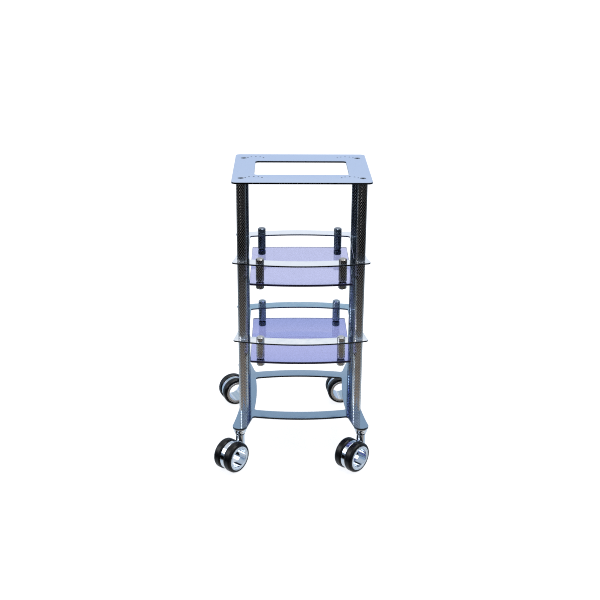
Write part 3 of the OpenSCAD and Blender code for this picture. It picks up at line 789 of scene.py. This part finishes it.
def lockShell(place, side):
    s = casterShape
    near = s["bandWidth"] / 2 + s["gap"] + s["tyreWidth"] - 1.4 * mm
    far = near + s["lockWidth"]
    inner, outer = s["holeRadius"], s["holeRadius"] + s["hubWall"] + s["lockOver"]
    profile = [[inner, near], [outer, near], [outer, far - 0.25 * mm], [inner + 0.8 * mm, far - 0.1 * mm],
               [inner, far - 0.8 * mm]]
    points, faces = turned(profile, [0.1 * mm, 0.2 * mm, 0.2 * mm, 0.3 * mm, 0.3 * mm])
    return place.onAxle(points * [1, 1, side]), faces


yokePoints, yokeFaces = yokeShell(CasterPlace(corners[0]), boxOf(corners[0] + "_yoke")[1][2])
for corner in corners:
    place = CasterPlace(corner)
    makePiece(corner + "_casterYoke", place.local(yokePoints), yokeFaces, [casterChrome], corner + "_caster",
              "caster_chrome", [corner + "_yoke"])
    points, faces = joinShells([lockShell(place, 1), lockShell(place, -1)])
    makePiece(corner + "_retainingRings", points, faces, [satinRim], corner + "_caster", "caster_chrome",
              [corner + "_retaining_rings"])
    for number, side in ((1, 1), (2, -1)):
        body = f"{corner}_wheel_{number}"
        makePiece(f"{corner}_tyre{number}", *tyreShell(place, side), [tyreRubber], body, "tyre",
                  [f"{corner}_tyre_{number}"])
        makePiece(f"{corner}_rim{number}", *rimShell(place, side), [satinRim], body, "caster_chrome",
                  [f"{corner}_rim_{number}"])

low, high = boxOf("caster_bosses")
bossHeight, bossRadius = high[2] - low[2], 12.6 * mm
bossTop = baseShape["armRadius"] - 0.6 * mm
profile = [[stemBore, 0], [bossRadius, 0], [bossRadius + 3.4 * mm, 0.28 * bossHeight],
           [bossRadius + 4.2 * mm, 0.62 * bossHeight],
           [bossTop, 0.84 * bossHeight], [bossTop, bossHeight], [stemBore, bossHeight]]
points, faces = turned(profile, [0, 0.8 * mm, 3 * mm, 2 * mm, 1 * mm, 0.4 * mm, 0], 96)
shells = [(points + [*c, low[2]], faces) for c in atFour(stemX, stemY)]
makePiece("casterBosses", *joinShells(shells), [casterChrome], "frame", "caster_chrome", ["caster_bosses"])
low, high = boxOf("caster_seals")
sealHeight, sealRadius = high[2] - low[2], bossRadius + 0.4 * mm
points, faces = turned([[stemBore, 0], [sealRadius, 0], [sealRadius, sealHeight], [stemBore, sealHeight]],
                       [0.2 * mm, 0.7 * mm, 0.7 * mm, 0.2 * mm], 96)
shells = [(points + [*c, low[2]], faces) for c in atFour(stemX, stemY)]
makePiece("casterSeals", *joinShells(shells), [sealNylon], "frame", "black_seal", ["caster_seals"])
print("casters made")


# top screws

screwShape = {"headRadius": 7.7 * mm, "socketRadius": 3.5 * mm, "socketDepth": 2.0 * mm, "headHeight": 2.7 * mm,
              "sunk": 0.15 * mm}


def screwShell(centre, top):
    # rings from the shank up to the flat head and down a hexagon socket; the socket's radius
    # is the hexagon's, apothem / cos(angle to the nearest flat)
    s = screwShape
    angle = np.linspace(0, 2 * math.pi, 72, endpoint=False)
    toFlat = (angle + math.pi / 6) % (math.pi / 3) - math.pi / 6
    hexagon = s["socketRadius"] * math.cos(math.pi / 6) / np.cos(toFlat)
    ring = np.ones_like(angle)
    shank = 4.9 * mm
    rows = [(poleRadius * ring, -9 * mm), (shank * ring, -9 * mm), (shank * ring, -s["headHeight"]),
            ((s["headRadius"] - 0.3 * mm) * ring, -0.45 * mm), (s["headRadius"] * ring, -0.3 * mm),
            ((s["headRadius"] - 0.3 * mm) * ring, 0), (hexagon + 0.35 * mm, 0), (hexagon, -0.35 * mm),
            (hexagon, -s["socketDepth"]), (poleRadius * ring, -s["socketDepth"] - 0.8 * mm)]
    points = np.concatenate([np.stack([centre[0] + r * np.cos(angle), centre[1] + r * np.sin(angle),
                                       np.full_like(angle, top - s["sunk"] + z)], -1) for r, z in rows])
    return points, [loopQuads(len(rows), len(angle), False)]


top = boxOf("top_plate")[1][2]
shells = [screwShell(c, top) for c in atFour(columnX, columnY)]
makePiece("topScrews", *joinShells(shells), [screwChrome], "frame", "screw_chrome", ["top_screws"])
print("screws made")


# CAD nodes that keep their own shape

kept = {"base_screws": screwChrome, "upper_ring_studs": turnedSteel, "lower_ring_studs": turnedSteel,
        "upper_post_studs": turnedSteel, "lower_post_studs": turnedSteel, "caster_stems": turnedSteel,
        "upper_glass_washers": washerRubber, "lower_glass_washers": washerRubber}
for node, material in kept.items():
    mesh = frame["nodes"][node].data
    mesh.materials.clear()
    mesh.materials.append(material)


# floor, light and camera

studio = {"floorSize": 60.0, "floorGlow": 0.92, "keySize": 2.2, "keyPower": 55.0, "fillPower": 20.0}


def buildFloor():
    material, tree = newMaterial("paleFloor")
    shader = addNode(tree, "ShaderNodeBsdfPrincipled", inputs={
        "Base Color": linearColour("#97979a"), "Roughness": 0.9, "Specular IOR Level": 0.0,
        "Emission Color": linearColour("#f6f7f9"), "Emission Strength": studio["floorGlow"]})
    finishMaterial(tree, shader)
    half = studio["floorSize"] / 2
    mesh = bpy.data.meshes.new("floor")
    around = [(-half, -half, 0), (half, -half, 0), (half, half, 0), (-half, half, 0)]
    mesh.from_pydata(around, [], [(0, 1, 2, 3)])
    mesh.materials.append(material)
    floor = bpy.data.objects.new("floor", mesh)
    bpy.context.scene.collection.objects.link(floor)
    floor.visible_glossy = False


def buildWorld():
    # a studio by direction: bright and cool behind and above, a dim warm room in front; the
    # narrow bands behind are what the rings and the base mirror towards the main camera
    world = bpy.data.worlds.new("studioWorld")
    bpy.context.scene.world = world
    world.use_nodes = True
    tree = world.node_tree
    tree.nodes.clear()
    way = addNode(tree, "ShaderNodeTexCoord").outputs["Generated"]
    axis = addNode(tree, "ShaderNodeSeparateXYZ", inputs={"Vector": way})

    def band(stops):
        shifted = addNode(tree, "ShaderNodeMapRange", inputs={
            "Value": axis.outputs["Z"], "From Min": -1.0, "From Max": 1.0})
        ramp = addNode(tree, "ShaderNodeValToRGB", inputs={"Fac": shifted.outputs["Result"]})
        ramp.color_ramp.elements.remove(ramp.color_ramp.elements[1])
        for number, (height, colour) in enumerate(stops):
            at = (height + 1) / 2
            stop = ramp.color_ramp.elements[0] if number == 0 else ramp.color_ramp.elements.new(at)
            stop.position = at
            stop.color = linearColour(colour)
        return ramp.outputs["Color"]

    front = band([(-1.0, "#cfc8c1"), (-0.68, "#bdb6ae"), (-0.47, "#9d948b"), (-0.38, "#6d655d"),
                  (-0.3, "#15120f"), (0.0, "#050505"), (0.05, "#1c2228"), (0.11, "#5a6672"),
                  (0.2, "#8492a3"), (0.3, "#a3b3c8"), (0.6, "#c3d2e6"), (1.0, "#ffffff")])
    back = band([(-1.0, "#f2f4f7"), (-0.6, "#dfe9f2"), (-0.35, "#b4cde2"), (-0.1, "#b4cde2"), (0.1, "#c2d3ef"),
                 (0.25, "#c2d3ef"), (0.285, "#f2f6fc"), (0.345, "#f6f9fd"), (0.363, "#8fb0c6"),
                 (0.385, "#a6c0d2"), (0.397, "#ffffff"),
                 (0.41, "#ffffff"), (0.425, "#b4c8d8"), (0.48, "#b4c8d8"), (0.65, "#dfe6ee"), (1.0, "#ffffff")])
    line = addNode(tree, "ShaderNodeMapRange", inputs={
        "Value": axis.outputs["Z"], "From Min": -0.56, "From Max": -0.21, "To Min": -0.3, "To Max": 0.12})
    past = addNode(tree, "ShaderNodeMath", {"operation": "SUBTRACT"}, {
        0: axis.outputs["Y"], 1: line.outputs["Result"]})
    turn = addNode(tree, "ShaderNodeMapRange", {"interpolation_type": "SMOOTHSTEP"}, {
        "Value": past.outputs["Value"], "From Min": -0.12, "From Max": 0.12})
    studioLight = addNode(tree, "ShaderNodeMix", {"data_type": "RGBA"}, {
        "Factor": turn.outputs["Result"], "A": front, "B": back})
    seen = addNode(tree, "ShaderNodeLightPath")
    shown = addNode(tree, "ShaderNodeMix", {"data_type": "RGBA"}, {
        "Factor": seen.outputs["Is Camera Ray"], "A": studioLight.outputs[2], "B": (1.05, 1.05, 1.05, 1)})
    light = addNode(tree, "ShaderNodeBackground", inputs={"Color": shown.outputs[2], "Strength": 1.0})
    addNode(tree, "ShaderNodeOutputWorld", inputs={"Surface": light.outputs["Background"]})


def buildLight(name, place, aim, size, power):
    data = bpy.data.lights.new(name, "AREA")
    data.shape = "SQUARE"
    data.size = size
    data.energy = power
    lamp = bpy.data.objects.new(name, data)
    bpy.context.scene.collection.objects.link(lamp)
    back = np.array(place, float) - np.array(aim, float)
    back /= np.linalg.norm(back)
    side = np.cross([0, 1, 0.01], back)
    side /= np.linalg.norm(side)
    up = np.cross(back, side)
    matrix = Matrix.Identity(4)
    for row in range(3):
        matrix[row][0], matrix[row][1], matrix[row][2] = side[row], up[row], back[row]
        matrix[row][3] = place[row]
    lamp.matrix_world = matrix


cameraView = {"place": (-0.0503, -2.6743, 1.4499), "yaw": 0.0186, "pitch": 0.3716, "roll": 0.0074, "lens": 61.5}


def buildCamera():
    # yaw turns right from +Y, pitch looks down, roll turns about the line of sight
    data = bpy.data.cameras.new("camera")
    data.lens = cameraView["lens"]
    data.sensor_width = 36
    data.clip_end = 100
    camera = bpy.data.objects.new("camera", data)
    bpy.context.scene.collection.objects.link(camera)
    yaw, pitch, roll = cameraView["yaw"], cameraView["pitch"], cameraView["roll"]
    ahead = np.array([math.sin(yaw) * math.cos(pitch), math.cos(yaw) * math.cos(pitch), -math.sin(pitch)])
    right = np.array([math.cos(yaw), -math.sin(yaw), 0])
    up = np.cross(right, ahead)
    right, up = right * math.cos(roll) + up * math.sin(roll), up * math.cos(roll) - right * math.sin(roll)
    matrix = Matrix.Identity(4)
    for row in range(3):
        matrix[row][0], matrix[row][1], matrix[row][2] = right[row], up[row], -ahead[row]
        matrix[row][3] = cameraView["place"][row]
    camera.matrix_world = matrix
    bpy.context.scene.camera = camera


buildFloor()
buildWorld()
buildLight("overheadSoftbox", (0.3, 0.3, 2.6), (0, 0, 0.3), studio["keySize"], studio["keyPower"])
buildLight("sideSoftbox", (-2.4, -0.6, 1.6), (0, 0, 0.4), 1.4, studio["fillPower"])
buildCamera()
bpy.context.scene.view_settings.view_transform = "Standard"
bpy.context.scene.cycles.use_denoising = False   # it would wipe the fine knurl away
bpy.context.scene.cycles.filter_width = 1.1
print("stage made")
